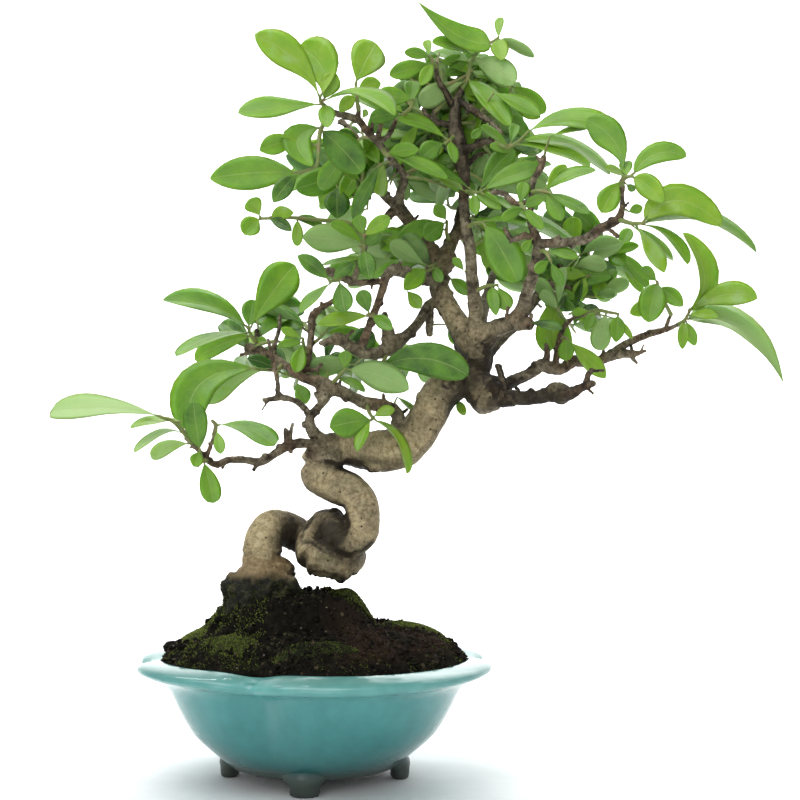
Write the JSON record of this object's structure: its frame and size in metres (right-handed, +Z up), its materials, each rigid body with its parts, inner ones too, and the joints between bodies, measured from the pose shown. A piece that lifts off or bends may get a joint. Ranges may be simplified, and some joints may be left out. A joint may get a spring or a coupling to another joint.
{
  "type": "potted bonsai tree",
  "caption": "Small privet bonsai with a coiled trunk, bare gnarled branches and spoon-shaped leaves, on a mossy mound of soil in a lobed turquoise-glazed bowl on feet.",
  "frame": {"origin": "under the middle of the bounding box, at the height of the undersides of the pot's feet", "axes": "+X to the right as the plant is seen from its front, +Y away from the front, +Z up"},
  "size_m": [0.3136, 0.179, 0.3322],
  "materials": {
    "glaze": "glossy pale turquoise glaze over stoneware",
    "screen": "matte dark green mesh",
    "soil": "damp dark gritty soil",
    "moss": "short dense olive moss",
    "bark": "pale grey-brown bark, rough and ringed",
    "leaf": "semi-gloss fresh green, paler underneath"
  },
  "bodies": {
    "root": {"drain_screen_left": "screen", "drain_screen_right": "screen", "leaves_apex": "leaf", "leaves_apex_left": "leaf", "leaves_back_right": "leaf", "leaves_dark_pair": "leaf", "leaves_fan_top": "leaf", "leaves_far_right": "leaf", "leaves_far_right_riser": "leaf", "leaves_gnarled_riser": "leaf", "leaves_knot_left": "leaf", "leaves_knot_right": "leaf", "leaves_leader_high": "leaf", "leaves_leader_low": "leaf", "leaves_leader_mid": "leaf", "leaves_left_burr": "leaf", "leaves_left_fold": "leaf", "leaves_left_hanging": "leaf", "leaves_left_hollow": "leaf", "leaves_left_limb": "leaf", "leaves_left_trio": "leaf", "leaves_left_trunk": "leaf", "leaves_low_centre": "leaf", "leaves_low_left_tip": "leaf", "leaves_low_left_twig": "leaf", "leaves_low_left_under": "leaf", "leaves_low_right_twig": "leaf", "leaves_pale_limb": "leaf", "leaves_pale_pair": "leaf", "leaves_pale_side": "leaf", "leaves_rear_left": "leaf", "leaves_rear_low": "leaf", "leaves_rear_mid": "leaf", "leaves_rear_top": "leaf", "leaves_right_cluster": "leaf", "leaves_right_dark": "leaf", "leaves_right_fan": "leaf", "leaves_right_limb": "leaf", "leaves_right_side": "leaf", "leaves_riser_low": "leaf", "leaves_riser_right": "leaf", "leaves_top_burr": "leaf", "leaves_top_left": "leaf", "leaves_top_right": "leaf", "leaves_twig_right": "leaf", "leaves_upper_fork": "leaf", "leaves_upper_hook": "leaf", "moss_back": "moss", "moss_crown": "moss", "moss_front": "moss", "moss_left": "moss", "moss_left_front": "moss", "moss_ridge": "moss", "pot": "glaze", "soil": "soil", "trunk_and_branches": "bark"}
  },
  "joints": []
}
